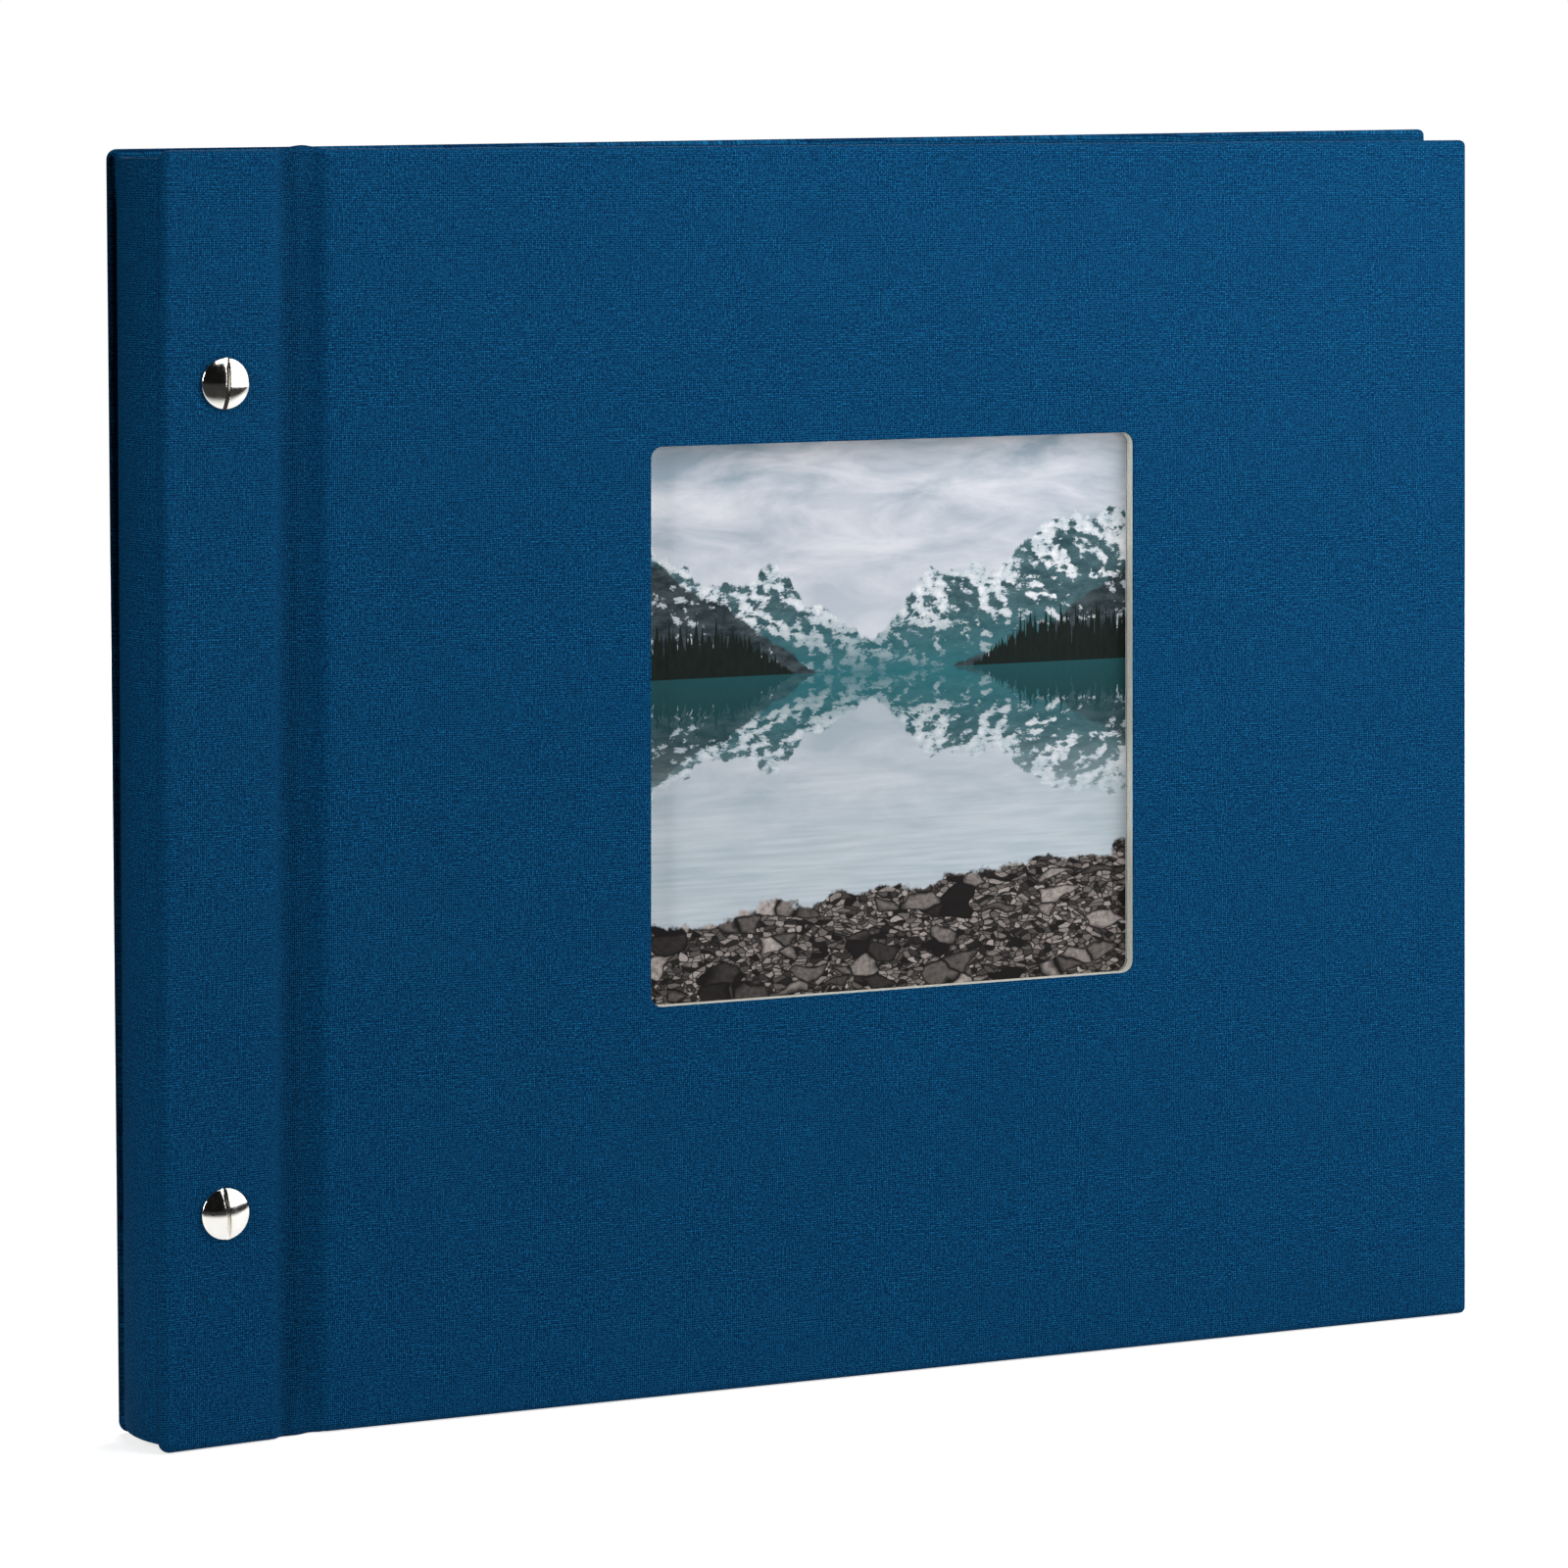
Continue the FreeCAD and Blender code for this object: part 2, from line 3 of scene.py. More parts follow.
import bmesh
import bpy
import numpy as np
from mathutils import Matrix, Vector


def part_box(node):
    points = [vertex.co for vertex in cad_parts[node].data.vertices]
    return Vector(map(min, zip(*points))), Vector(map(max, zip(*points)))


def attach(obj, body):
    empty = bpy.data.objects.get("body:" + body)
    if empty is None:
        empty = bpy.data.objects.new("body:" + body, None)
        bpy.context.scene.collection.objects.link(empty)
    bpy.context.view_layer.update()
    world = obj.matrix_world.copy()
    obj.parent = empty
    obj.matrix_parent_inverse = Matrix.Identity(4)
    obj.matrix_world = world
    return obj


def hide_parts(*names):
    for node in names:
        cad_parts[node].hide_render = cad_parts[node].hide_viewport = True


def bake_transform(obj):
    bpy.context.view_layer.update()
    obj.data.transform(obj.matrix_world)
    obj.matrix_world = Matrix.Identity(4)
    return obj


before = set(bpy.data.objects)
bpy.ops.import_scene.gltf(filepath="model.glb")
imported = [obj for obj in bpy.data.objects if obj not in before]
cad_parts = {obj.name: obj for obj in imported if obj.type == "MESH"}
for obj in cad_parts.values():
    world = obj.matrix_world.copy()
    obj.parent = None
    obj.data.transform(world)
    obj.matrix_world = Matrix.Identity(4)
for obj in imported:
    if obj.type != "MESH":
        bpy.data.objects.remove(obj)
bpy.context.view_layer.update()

# Everything below is in metres. "along" is a distance from the spine edge of the front cover,
# "out" a distance from the plane midway between the covers, towards the outside of a cover.
MM = 0.001
FRONT, BACK = -1, 1

cover_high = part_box("front_cover_cloth")[1]
strip_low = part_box("front_strip_cloth")[0]
board_low, board_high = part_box("front_cover_board")
back_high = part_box("back_cover_board")[1]
lining_low, lining_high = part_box("back_cover_lining")
screw_low, screw_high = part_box("upper_binding_screw")
print_low, print_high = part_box("window_print")

CLOTH = 0.4 * MM
FLAP_BULGE = 1.6 * MM
SPINE_X = strip_low.x + FLAP_BULGE
WIDTH = cover_high.x - SPINE_X
HEIGHT = cover_high.z
MIDDLE_Y = (board_low.y + back_high.y) / 2
HALF_DEPTH = back_high.y + CLOTH - MIDDLE_Y
THICK = board_high.y - board_low.y + 2 * CLOTH
STRIP_WIDTH = 24.4 * MM
GROOVE_END = board_low.x - CLOTH - SPINE_X
HINGE_CLOTH = 1.2 * MM
LEAVES = 16

SCREW_ALONG = (screw_low.x + screw_high.x) / 2 - SPINE_X
SCREW_HEIGHTS = {
    title: (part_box(f"{title}_binding_screw")[0].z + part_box(f"{title}_binding_screw")[1].z) / 2
    for title in ("lower", "upper")
}
POST_HOLE_RADIUS = 2.6 * MM
SEAT_RADIUS = 7.6 * MM
SEAT_SLOPE = 2.4 * MM

WINDOW_SIDE = 112 * MM
WINDOW_CORNER = 2.5 * MM
WINDOW = (
    (print_low.x + print_high.x - WINDOW_SIDE) / 2 - SPINE_X,
    (print_low.z + print_high.z - WINDOW_SIDE) / 2,
    WINDOW_SIDE,
    WINDOW_CORNER,
)

# How far each strip stands out past its cover: at the groove, and at the spine edge.
LIFT = {FRONT: (2.0 * MM, 4.8 * MM), BACK: (1.2 * MM, 3.0 * MM)}
BACK_SKEW = math.radians(0.41)
BACK_SHIFT = 0.9 * MM
BACK_STRIP_LEAN = 0.9 * MM
EDGE_RADIUS = 1.3 * MM
SPINE_CORNER = 2.0 * MM
WEAVE_SLANT = 0.006
WARP_SPACING, WEFT_SPACING = 0.43, 0.45  # millimetres, like the weave map
# Painted shade: the share of its colour that the cloth keeps in the middle of the hinge groove.
GROOVE_SHADE = 0.78
# The cloth gathers in a small ruck at the head of the front cover, beside the groove.
RUCK = 0.8 * MM
RUCK_FROM = 0.9


# The line of each cover


class CoverPath:
    """The line that a cover's outer face follows in plan, from its spine edge to its fore edge."""

    PAST_ENDS = 20 * MM
    GROOVE_DEPTH = 2.0 * MM
    SMOOTHING = 0.7 * MM
    HINGE_TAPER = 0.9 * MM

    def __init__(self, side):
        rise, flare = LIFT[side]
        valley = HALF_DEPTH - self.GROOVE_DEPTH
        knots = [
            (-self.PAST_ENDS, HALF_DEPTH + flare + (flare - rise) * self.PAST_ENDS / STRIP_WIDTH),
            (STRIP_WIDTH + 0.3 * MM, HALF_DEPTH + rise),
            (STRIP_WIDTH + 2.2 * MM, valley + 1.0 * MM),
            (STRIP_WIDTH + 4.6 * MM, valley + 0.35 * MM),
            (STRIP_WIDTH + 6.6 * MM, valley + 0.45 * MM),
            (GROOVE_END - 3.0 * MM, valley),
            (GROOVE_END - 1.8 * MM, valley + 0.2 * MM),
            (GROOVE_END + 0.1 * MM, HALF_DEPTH),
            (WIDTH + self.PAST_ENDS, HALF_DEPTH),
        ]
        step, reach = 0.1 * MM, 40
        along = np.arange(-self.PAST_ENDS, WIDTH + self.PAST_ENDS, step)
        out = np.interp(along, *zip(*knots))
        spread = np.exp(-0.5 * (np.arange(-reach, reach + 1) * step / self.SMOOTHING) ** 2)
        out = np.convolve(np.pad(out, reach, mode="edge"), spread / spread.sum(), mode="valid")
        straight = along < STRIP_WIDTH - 6 * MM
        out[straight] = np.interp(along[straight], *zip(*knots))
        length = np.concatenate([[0], np.cumsum(np.hypot(np.diff(along), np.diff(out)))])
        self.length, self.along, self.out = length - np.interp(0.0, along, length), along, out
        self.lean = np.arctan(np.gradient(out, along))
        self.total = self.run_at(WIDTH)

    def run_at(self, along):
        """How far along the cloth a place lies."""
        return float(np.interp(along, self.along, self.length))

    def at(self, run, depth):
        """(along, out) of a point a run along the cloth and a depth inside its face."""
        lines = (self.along, self.out, self.lean)
        along, out, lean = (np.interp(run, self.length, line) for line in lines)
        hinge = min(along - STRIP_WIDTH - 0.3 * MM, GROOVE_END - 0.3 * MM - along)
        thin = min(max(hinge / self.HINGE_TAPER, 0.0), 1.0)
        depth *= 1 - (1 - HINGE_CLOTH / THICK) * thin * thin * (3 - 2 * thin)
        return along + math.sin(lean) * depth, out - math.cos(lean) * depth


PATHS = {side: CoverPath(side) for side in (FRONT, BACK)}


# Materials


class Graph:
    """The node tree of one material, built from its shader backwards."""

    def __init__(self, name, roughness=0.6, specular=0.3):
        self.material = bpy.data.materials.new(name)
        self.material.use_nodes = True
        self.tree = self.material.node_tree
        self.shader = self.tree.nodes["Principled BSDF"]
        self.put(self.shader, "Roughness", roughness)
        self.put(self.shader, "Specular IOR Level", specular)

    def put(self, node, key, value):
        if isinstance(value, bpy.types.NodeSocket):
            self.tree.links.new(value, node.inputs[key])
        else:
            node.inputs[key].default_value = value

    def node(self, kind, inputs=(), **settings):
        node = self.tree.nodes.new("ShaderNode" + kind)
        for key, value in settings.items():
            setattr(node, key, value)
        for key, value in dict(inputs).items():
            self.put(node, key, value)
        return node

    def math(self, operation, *values):
        return self.node("Math", dict(enumerate(values)), operation=operation).outputs[0]

    def mix(self, share, first, second):
        node = self.node("Mix", data_type="RGBA", clamp_factor=False)
        for key, value in ((0, share), (6, first), (7, second)):
            self.put(node, key, (*value, 1) if isinstance(value, tuple) else value)
        return node.outputs[2]

    def scaled(self, vector, *factors):
        node = self.node("VectorMath", {0: vector, 1: factors}, operation="MULTIPLY")
        return node.outputs[0]

    def combined(self, x, y, z=0.0):
        return self.node("CombineXYZ", {0: x, 1: y, 2: z}).outputs[0]

    def separated(self, vector):
        return self.node("SeparateXYZ", {0: vector}).outputs

    def noise(self, vector, scale=1.0, detail=2.0, roughness=0.5, distortion=0.0):
        inputs = {"Vector": vector, "Scale": scale, "Detail": detail, "Roughness": roughness}
        inputs["Distortion"] = distortion
        return self.node("TexNoise", inputs).outputs["Fac"]

    def span(self, value, low, high, start=0.0, end=1.0, smooth=False):
        inputs = {"Value": value, "From Min": low, "From Max": high, "To Min": start, "To Max": end}
        node = self.node("MapRange", inputs)
        if smooth:
            node.interpolation_type = "SMOOTHSTEP"
        return node.outputs["Result"]

    def bump(self, height, distance, strength=1.0):
        inputs = {"Height": height, "Distance": distance, "Strength": strength}
        self.put(self.shader, "Normal", self.node("Bump", inputs).outputs["Normal"])

    def colour(self, value):
        self.put(self.shader, "Base Color", (*value, 1) if isinstance(value, tuple) else value)
        return self.material


def book_cloth():
    """Plain-woven linen: fine crossing threads, thicker here and there, dyed one deep blue; painted
    shade darkens it across the hinge groove.
    """
    g = Graph("book_cloth", roughness=0.85, specular=0.04)
    place = g.node("UVMap", uv_map="weave").outputs["UV"]
    wander = g.noise(place, 0.12, 2, 0.5)
    across = g.separated(place)
    warp = g.math("MULTIPLY_ADD", across[0], 1 / WARP_SPACING, g.math("MULTIPLY", wander, 1.6))
    weft = g.math("MULTIPLY_ADD", across[1], 1 / WEFT_SPACING, g.math("MULTIPLY", wander, -1.2))
    crossing = g.math(
        "MULTIPLY",
        g.math("SINE", g.math("MULTIPLY", warp, math.pi)),
        g.math("SINE", g.math("MULTIPLY", weft, math.pi)),
    )
    thread = g.math("POWER", g.math("ABSOLUTE", crossing), 0.85)
    warp_up = g.span(crossing, -0.12, 0.12)
    uprights = g.noise(g.scaled(place, 2.3, 0.30, 1.0), 1.0, 2, 0.6)
    levels = g.noise(g.scaled(place, 0.30, 2.2, 1.0), 1.0, 2, 0.6)
    mottle = g.noise(place, 0.05, 4, 0.65)
    run = g.node("Mix", {0: warp_up, 2: levels, 3: uprights}).outputs[0]
    slubs = g.noise(g.scaled(place, 2.3, 2.2, 1.0), 1.0, 0, 0.5)
    light = g.math("MULTIPLY", g.span(run, 0.3, 0.7, 0.5, 1.5), thread)
    light = g.math("MULTIPLY", light, g.span(slubs, 0.25, 0.75, 0.3, 1.7))
    light = g.math("MULTIPLY", light, g.span(mottle, 0.25, 0.75, 0.93, 1.07))
    blue = g.mix(light, (0.0002, 0.0132, 0.056), (0.0055, 0.111, 0.263))
    # Painted shade: across the hinge groove the cloth's colour is scaled down, to GROOVE_SHADE at its
    # middle, for the shade that falls in the groove.
    along = g.math("MULTIPLY_ADD", across[1], WEAVE_SLANT, across[0])
    groove = [PATHS[FRONT].run_at(along) / MM for along in (STRIP_WIDTH, GROOVE_END)]
    off_middle = g.math("ABSOLUTE", g.math("SUBTRACT", along, sum(groove) / 2))
    half = (groove[1] - groove[0]) / 2
    seat_dent_or_groove_shade = g.span(off_middle, half * 0.2, half * 1.15, GROOVE_SHADE, 1.0, smooth=True)
    blue = g.node("VectorMath", {0: blue, "Scale": seat_dent_or_groove_shade}, operation="SCALE").outputs[0]
    g.bump(g.math("MULTIPLY_ADD", run, 0.8, thread), 0.08 * MM, 0.7)
    return g.colour(blue)


def paper(name, colour, grain, map_name=None):
    """Uncoated paper or board: a little fibre in its colour and its surface."""
    g = Graph(name, roughness=0.85, specular=0.2)
    if map_name:
        place = g.scaled(g.node("UVMap", uv_map=map_name).outputs["UV"], MM, MM, MM)
    else:
        place = g.node("TexCoord").outputs["Object"]
    fibre = g.noise(g.scaled(place, 1.0, 2.0, 0.6), grain, 4, 0.7)
    cloud = g.noise(place, 25.0, 3, 0.6)
    dark = tuple(c * 0.86 for c in colour)
    tone = g.mix(g.span(fibre, 0.3, 0.7), dark, colour)
    tone = g.mix(g.span(cloud, 0.3, 0.7, 0.0, 0.25), tone, tuple(c * 0.93 for c in colour))
    g.bump(fibre, 0.02 * MM)
    return g.colour(tone)


def grey_board():
    """Raw board as its cut edge shows it: pale grey, with specks and pressed layers."""
    g = Graph("grey_board", roughness=0.9, specular=0.15)
    place = g.node("TexCoord").outputs["Object"]
    layers = g.noise(g.scaled(place, 260.0, 2600.0, 260.0), 1.0, 3, 0.7)
    specks = g.noise(place, 2300.0, 2, 0.6)
    tone = g.mix(g.span(layers, 0.3, 0.7), (0.60, 0.61, 0.54), (0.88, 0.88, 0.81))
    tone = g.mix(g.span(specks, 0.6, 0.72, 0.0, 0.45), tone, (0.26, 0.25, 0.21))
    g.bump(g.math("ADD", layers, specks), 0.12 * MM)
    return g.colour(tone)


def glassine():
    """Thin translucent tissue with a faint cloudy grain."""
    g = Graph("glassine", roughness=0.45, specular=0.4)
    place = g.scaled(g.node("UVMap", uv_map="sheet").outputs["UV"], MM, MM, MM)
    cloud = g.noise(place, 90.0, 4, 0.65)
    g.put(g.shader, "Transmission Weight", 0.25)
    g.put(g.shader, "IOR", 1.15)
    g.bump(g.noise(place, 160.0, 3, 0.6), 0.05 * MM)
    return g.colour(g.mix(cloud, (0.72, 0.73, 0.70), (0.90, 0.90, 0.86)))


def nickel():
    """Polished nickel plate with faint turning marks and the odd dull patch."""
    g = Graph("nickel", specular=0.5)
    place = g.node("TexCoord").outputs["Object"]
    patches = g.noise(place, 420.0, 3, 0.6)
    scratches = g.noise(g.scaled(place, 1.0, 1.0, 6.0), 1500.0, 2, 0.5)
    g.put(g.shader, "Metallic", 1.0)
    g.put(g.shader, "Roughness", g.span(patches, 0.35, 0.75, 0.06, 0.17))
    g.bump(scratches, 0.004 * MM)
    return g.colour(g.mix(g.span(patches, 0.3, 0.7), (0.76, 0.74, 0.69), (0.84, 0.82, 0.78)))


def landscape():
    """A made-up lake view: overcast sky, snowy range, dark shores, still water and stones."""
    g = Graph("photo_paper", roughness=0.45, specular=0.06)
    centre = (print_low + print_high) / 2
    place = g.node("TexCoord").outputs["Object"]
    shift = g.node("VectorMath", {0: place, 1: tuple(-c for c in centre)}, operation="ADD").outputs[0]
    # In this picture's own units, its window runs from -1 to 1 both ways.
    unit = 2 / WINDOW_SIDE
    parts = g.separated(g.scaled(shift, unit, unit, unit))
    x, up = parts[0], parts[2]
    waterline = 0.16
    above = g.math("SUBTRACT", up, waterline)
    below = g.math("LESS_THAN", above, 0.0)
    depth = g.math("ABSOLUTE", above)
    ripple = g.noise(g.combined(g.math("MULTIPLY", x, 3.0), g.math("MULTIPLY", up, 60.0)), 1.0, 2)
    sway = g.math("MULTIPLY", g.math("SUBTRACT", ripple, 0.5), g.math("MULTIPLY", below, 0.03))
    px = g.math("ADD", x, sway)
    height = g.math("MULTIPLY", depth, g.math("MULTIPLY_ADD", below, 0.12, 1.0))

    def at(across, upwards, offset=0.0):
        """A point of the mirrored picture, for a texture that the water repeats."""
        return g.combined(g.math("MULTIPLY", px, across), g.math("MULTIPLY", height, upwards), offset)

    def ridge(level, rise, reach, seed, middle):
        """Where a range ends: a line that climbs away from the middle, broken by peaks."""
        peaks = g.noise(g.combined(px, seed), reach, 7, 0.56)
        away = g.math("POWER", g.math("ABSOLUTE", g.math("SUBTRACT", px, middle)), 1.25)
        base = g.math("MULTIPLY_ADD", away, rise, level)
        return g.math("MULTIPLY_ADD", g.math("SUBTRACT", peaks, 0.5), reach * 0.19, base)

    def layer(picture, edge, colour, soft=0.006):
        """The picture with a colour laid over everything below an edge."""
        return g.mix(g.span(g.math("SUBTRACT", edge, height), -soft, soft), picture, colour)

    cloud = g.noise(at(1.5, 4.6, 4.2), 1.5, 7, 0.60, 0.5)
    sky = g.mix(g.span(cloud, 0.34, 0.64), (0.33, 0.41, 0.49), (0.72, 0.73, 0.79))
    sky = g.mix(g.span(height, 0.2, 0.7, 0.5, 0.0), sky, (0.68, 0.70, 0.76))

    # The far range: the difference between two nearby heights of its relief is what faces the light.
    far = ridge(0.22, 0.34, 3.1, 2.7, -0.12)
    relief = at(4.2, 6.0, 1.0)
    beside = g.node("VectorMath", {0: relief, 1: (0.10, 0.07, 0.0)}, operation="ADD").outputs[0]
    facing = g.math("SUBTRACT", g.noise(relief, 1.3, 9, 0.62), g.noise(beside, 1.3, 9, 0.62))
    crags = g.noise(at(9.0, 22.0, 6.0), 1.3, 8, 0.7)
    bare = g.math("MULTIPLY", g.math("SUBTRACT", far, height), 0.30)
    snowy = g.math("MULTIPLY_ADD", crags, 0.22, g.math("SUBTRACT", facing, bare))
    rock = g.mix(g.span(crags, 0.3, 0.7), (0.016, 0.050, 0.064), (0.100, 0.19, 0.21))
    snow = g.mix(g.span(facing, -0.03, 0.12), (0.46, 0.54, 0.60), (0.88, 0.89, 0.92))
    slopes = g.mix(g.span(snowy, 0.065, 0.10), rock, snow)
    slopes = g.mix(g.span(height, 0.0, 0.24, 0.9, 0.0), slopes, (0.030, 0.15, 0.18))
    picture = layer(sky, far, slopes)

    # The near cliffs, and a belt of firs along the shores.
    near = ridge(-0.06, 0.40, 2.1, 9.4, 0.10)
    cliff = g.mix(g.span(crags, 0.35, 0.65), (0.012, 0.022, 0.028), (0.07, 0.095, 0.105))
    cliff = g.mix(g.span(facing, 0.05, 0.08), cliff, (0.50, 0.55, 0.60))
    picture = layer(picture, near, cliff)
    tips = g.noise(g.combined(px, 5.5), 46.0, 2, 0.9)
    shore = g.math("SUBTRACT", g.math("ABSOLUTE", g.math("ADD", px, 0.02)), 0.36)
    belt = g.math(
        "MULTIPLY",
        g.span(shore, 0.0, 0.25, 0.0, 1.0),
        g.span(tips, 0.25, 0.75, 0.04, 0.27),
    )
    firs = g.mix(g.noise(at(60.0, 14.0), 1.0, 3, 0.7), (0.002, 0.005, 0.005), (0.016, 0.026, 0.022))
    picture = layer(picture, g.math("SUBTRACT", belt, 0.004), firs, 0.004)

    glint = g.mix(g.span(ripple, 0.35, 0.7), (0.46, 0.54, 0.59), (0.60, 0.66, 0.71))
    water = g.mix(g.span(depth, 0.0, 0.3, 0.45, 0.15), picture, (0.020, 0.14, 0.165))
    water = g.mix(g.span(depth, 0.20, 0.72, 0.0, 0.82, smooth=True), water, glint)
    picture = g.mix(below, picture, water)

    # The stony beach: large stones, and small ones that show between them.
    plain = g.combined(x, up)
    beach = g.math("MULTIPLY_ADD", x, 0.10, -0.74)
    lap = g.math("MULTIPLY_ADD", g.noise(plain, 5.0, 5, 0.6), 0.22, beach)
    stir = g.node("TexNoise", {"Vector": plain, "Scale": 9.0}).outputs["Color"]
    lie = g.node(
        "VectorMath",
        {0: stir, 1: (0.10, 0.10, 0.0), 2: g.scaled(plain, 1.0, 1.9, 1.0)},
        operation="MULTIPLY_ADD",
    ).outputs[0]
    small, large = 34.0, 9.0
    stones = None
    for count in (small, large):
        cells = g.node("TexVoronoi", {"Vector": lie, "Scale": count}, feature="F1")
        gaps = g.node("TexVoronoi", {"Vector": lie, "Scale": count}, feature="DISTANCE_TO_EDGE")
        tone = g.separated(cells.outputs["Color"])
        lit = g.span(gaps.outputs["Distance"], 0.02, 0.14)
        lit = g.math("MULTIPLY", lit, g.math("POWER", tone[0], 1.6))
        worn = g.noise(plain, count * 5, 4, 0.7)
        lit = g.math("MULTIPLY", lit, g.span(worn, 0.3, 0.7, 0.35, 1.25))
        stone = g.mix(lit, (0.014, 0.012, 0.012), (0.52, 0.46, 0.43))
        shown = g.math("GREATER_THAN", tone[1], 0.55)
        stones = stone if stones is None else g.mix(shown, stones, stone)
    picture = g.mix(g.span(g.math("SUBTRACT", lap, up), -0.004, 0.008), picture, stones)
    g.bump(g.noise(place, 900.0, 2), 0.003 * MM)
    return g.colour(picture)


cloth = book_cloth()
board_finish = grey_board()
CREAM = (0.80, 0.76, 0.66)
card = paper("leaf_card", CREAM, 700.0, map_name="sheet")
stub_card = paper("stub_card", CREAM, 700.0)
lining_paper = paper("lining_paper", (0.78, 0.74, 0.64), 800.0)
tissue = glassine()
metal = nickel()


# Meshes


def add_object(name, mesh, material):
    """A new object of a mesh, with its material, in the scene."""
    piece = bpy.data.objects.new(name, mesh)
    bpy.context.scene.collection.objects.link(piece)
    mesh.materials.append(material)
    return piece


def finished(bm, name, sharp=40):
    """A mesh from a bmesh: outward normals, smooth shading and sharp edges above an angle."""
    bmesh.ops.recalc_face_normals(bm, faces=bm.faces)
    mesh = bpy.data.meshes.new(name)
    bm.to_mesh(mesh)
    bm.free()
    mesh.shade_smooth()
    mesh.set_sharp_from_angle(angle=math.radians(sharp))
    return mesh


def bridge(bm, first, second):
    """Quads between two closed rings of the same count."""
    count = len(first)
    for i in range(count):
        j = (i + 1) % count
        bm.faces.new((first[i], first[j], second[j], second[i]))


def rounded_outline(left, bottom, width, height, radii):
    """Points round a rectangle with rounded corners, anticlockwise from the bottom left."""
    per_side, per_corner = 8, 6
    right, top = left + width, bottom + height
    corners = [
        (left, bottom, 1, 1, math.pi),
        (right, bottom, -1, 1, 1.5 * math.pi),
        (right, top, -1, -1, 0),
        (left, top, 1, -1, 0.5 * math.pi),
    ]
    arcs = []
    for (x, z, to_x, to_z, begin), radius in zip(corners, radii):
        centre_x, centre_z = x + to_x * radius, z + to_z * radius
        angles = [begin + i / per_corner * math.pi / 2 for i in range(per_corner + 1)]
        arcs.append(
            [(centre_x + radius * math.cos(a), centre_z + radius * math.sin(a)) for a in angles]
        )
    points = []
    for i, arc in enumerate(arcs):
        points += arc
        start, end = arc[-1], arcs[(i + 1) % 4][0]
        for k in range(1, per_side):
            share = k / per_side
            points.append(
                (start[0] + (end[0] - start[0]) * share, start[1] + (end[1] - start[1]) * share)
            )
    return points


def slab(width, height, thick, radii, edge, window=None):
    """A flat slab with rounded edges, as (along, into the slab, up), maybe with a window.

    Its outer face lies at 0. A window is (left, bottom, side, radius); between the cloth's two
    faces the window's walls stand back, so that the board shows.
    """
    bm = bmesh.new()

    def ring(inset, depth):
        rounding = [max(r - inset, 0.05 * MM) for r in radii]
        across, up = width - 2 * inset, height - 2 * inset
        points = rounded_outline(inset, inset, across, up, rounding)
        return [bm.verts.new((x, depth, z)) for x, z in points]

    def opening(grow, depth):
        left, bottom, side, radius = window
        side += 2 * grow
        corners = [radius + grow] * 4
        points = rounded_outline(left - grow, bottom - grow, side, side, corners)
        return [bm.verts.new((x, depth, z)) for x, z in points]

    support = 0.4 * MM
    steps = 4
    rings = [ring(edge + support, 0.0)]
    for i in range(steps + 1):
        angle = i / steps * math.pi / 2
        rings.append(ring(edge * (1 - math.sin(angle)), edge * (1 - math.cos(angle))))
    for i in range(steps + 1):
        angle = i / steps * math.pi / 2
        rings.append(ring(edge * (1 - math.cos(angle)), thick - edge * (1 - math.sin(angle))))
    rings.append(ring(edge + support, thick))
    for first, second in zip(rings, rings[1:]):
        bridge(bm, first, second)
    if not window:
        bm.faces.new(rings[0])
        bm.faces.new(rings[-1])
        return bm
    soft, back = 0.1 * MM, 1.5 * MM
    walls = [opening(soft * 4, 0.0), opening(soft, 0.0), opening(0.0, soft), opening(0.0, CLOTH)]
    walls += [opening(back, CLOTH), opening(back, thick - CLOTH), opening(0.0, thick - CLOTH)]
    walls += [opening(0.0, thick - soft), opening(soft, thick), opening(soft * 4, thick)]
    bridge(bm, rings[0], walls[0])
    for first, second in zip(walls, walls[1:]):
        bridge(bm, first, second)
    bridge(bm, rings[-1], walls[-1])
    return bm


def cut_at(bm, axis, places):
    """Adds edge loops across a slab at places along an axis, so that it can bend there."""
    normal = [0, 0, 0]
    normal[axis] = 1
    for value in places:
        point = [0, 0, 0]
        point[axis] = value
        geometry = bm.verts[:] + bm.edges[:] + bm.faces[:]
        bmesh.ops.bisect_plane(bm, geom=geometry, plane_co=point, plane_no=normal, dist=1e-7)


def add_weave_map(bm, width, height, slant=0.0):
    """Stores where each point lies on the cloth, so that the threads run round the edges."""
    layer = bm.loops.layers.uv.new("weave")
    reach = 3 * MM
    for face in bm.faces:
        for loop in face.loops:
            x, depth, z = loop.vert.co
            turn_x = (x > width - reach) - (x < reach)
            turn_z = (z > height - reach) - (z < reach)
            across, up = (x + turn_x * depth) / MM, (z + turn_z * depth) / MM
            loop[layer].uv = (across - slant * up, up + slant * across)


def seat_out(side):
    """How far out the flat seat under a head lies."""
    rise, flare = LIFT[side]
    return HALF_DEPTH + flare + (rise - flare) * SCREW_ALONG / STRIP_WIDTH


def skewed(along, up, skew):
    """A point of the back cover, which sits turned a little in its own plane."""
    return along * math.cos(skew) - up * math.sin(skew), along * math.sin(skew) + up * math.cos(skew)


def add_cut(piece, name, cutter):
    """A modifier that cuts another object's shape out of a piece."""
    cut = piece.modifiers.new(name, "BOOLEAN")
    cut.object = cutter
    cut.solver = "EXACT"


def apply_modifiers(piece):
    """Makes a piece's modifiers part of its mesh."""
    bpy.context.view_layer.update()
    shape = piece.evaluated_get(bpy.context.evaluated_depsgraph_get())
    mesh = bpy.data.meshes.new_from_object(shape)
    piece.modifiers.clear()
    piece.data = mesh


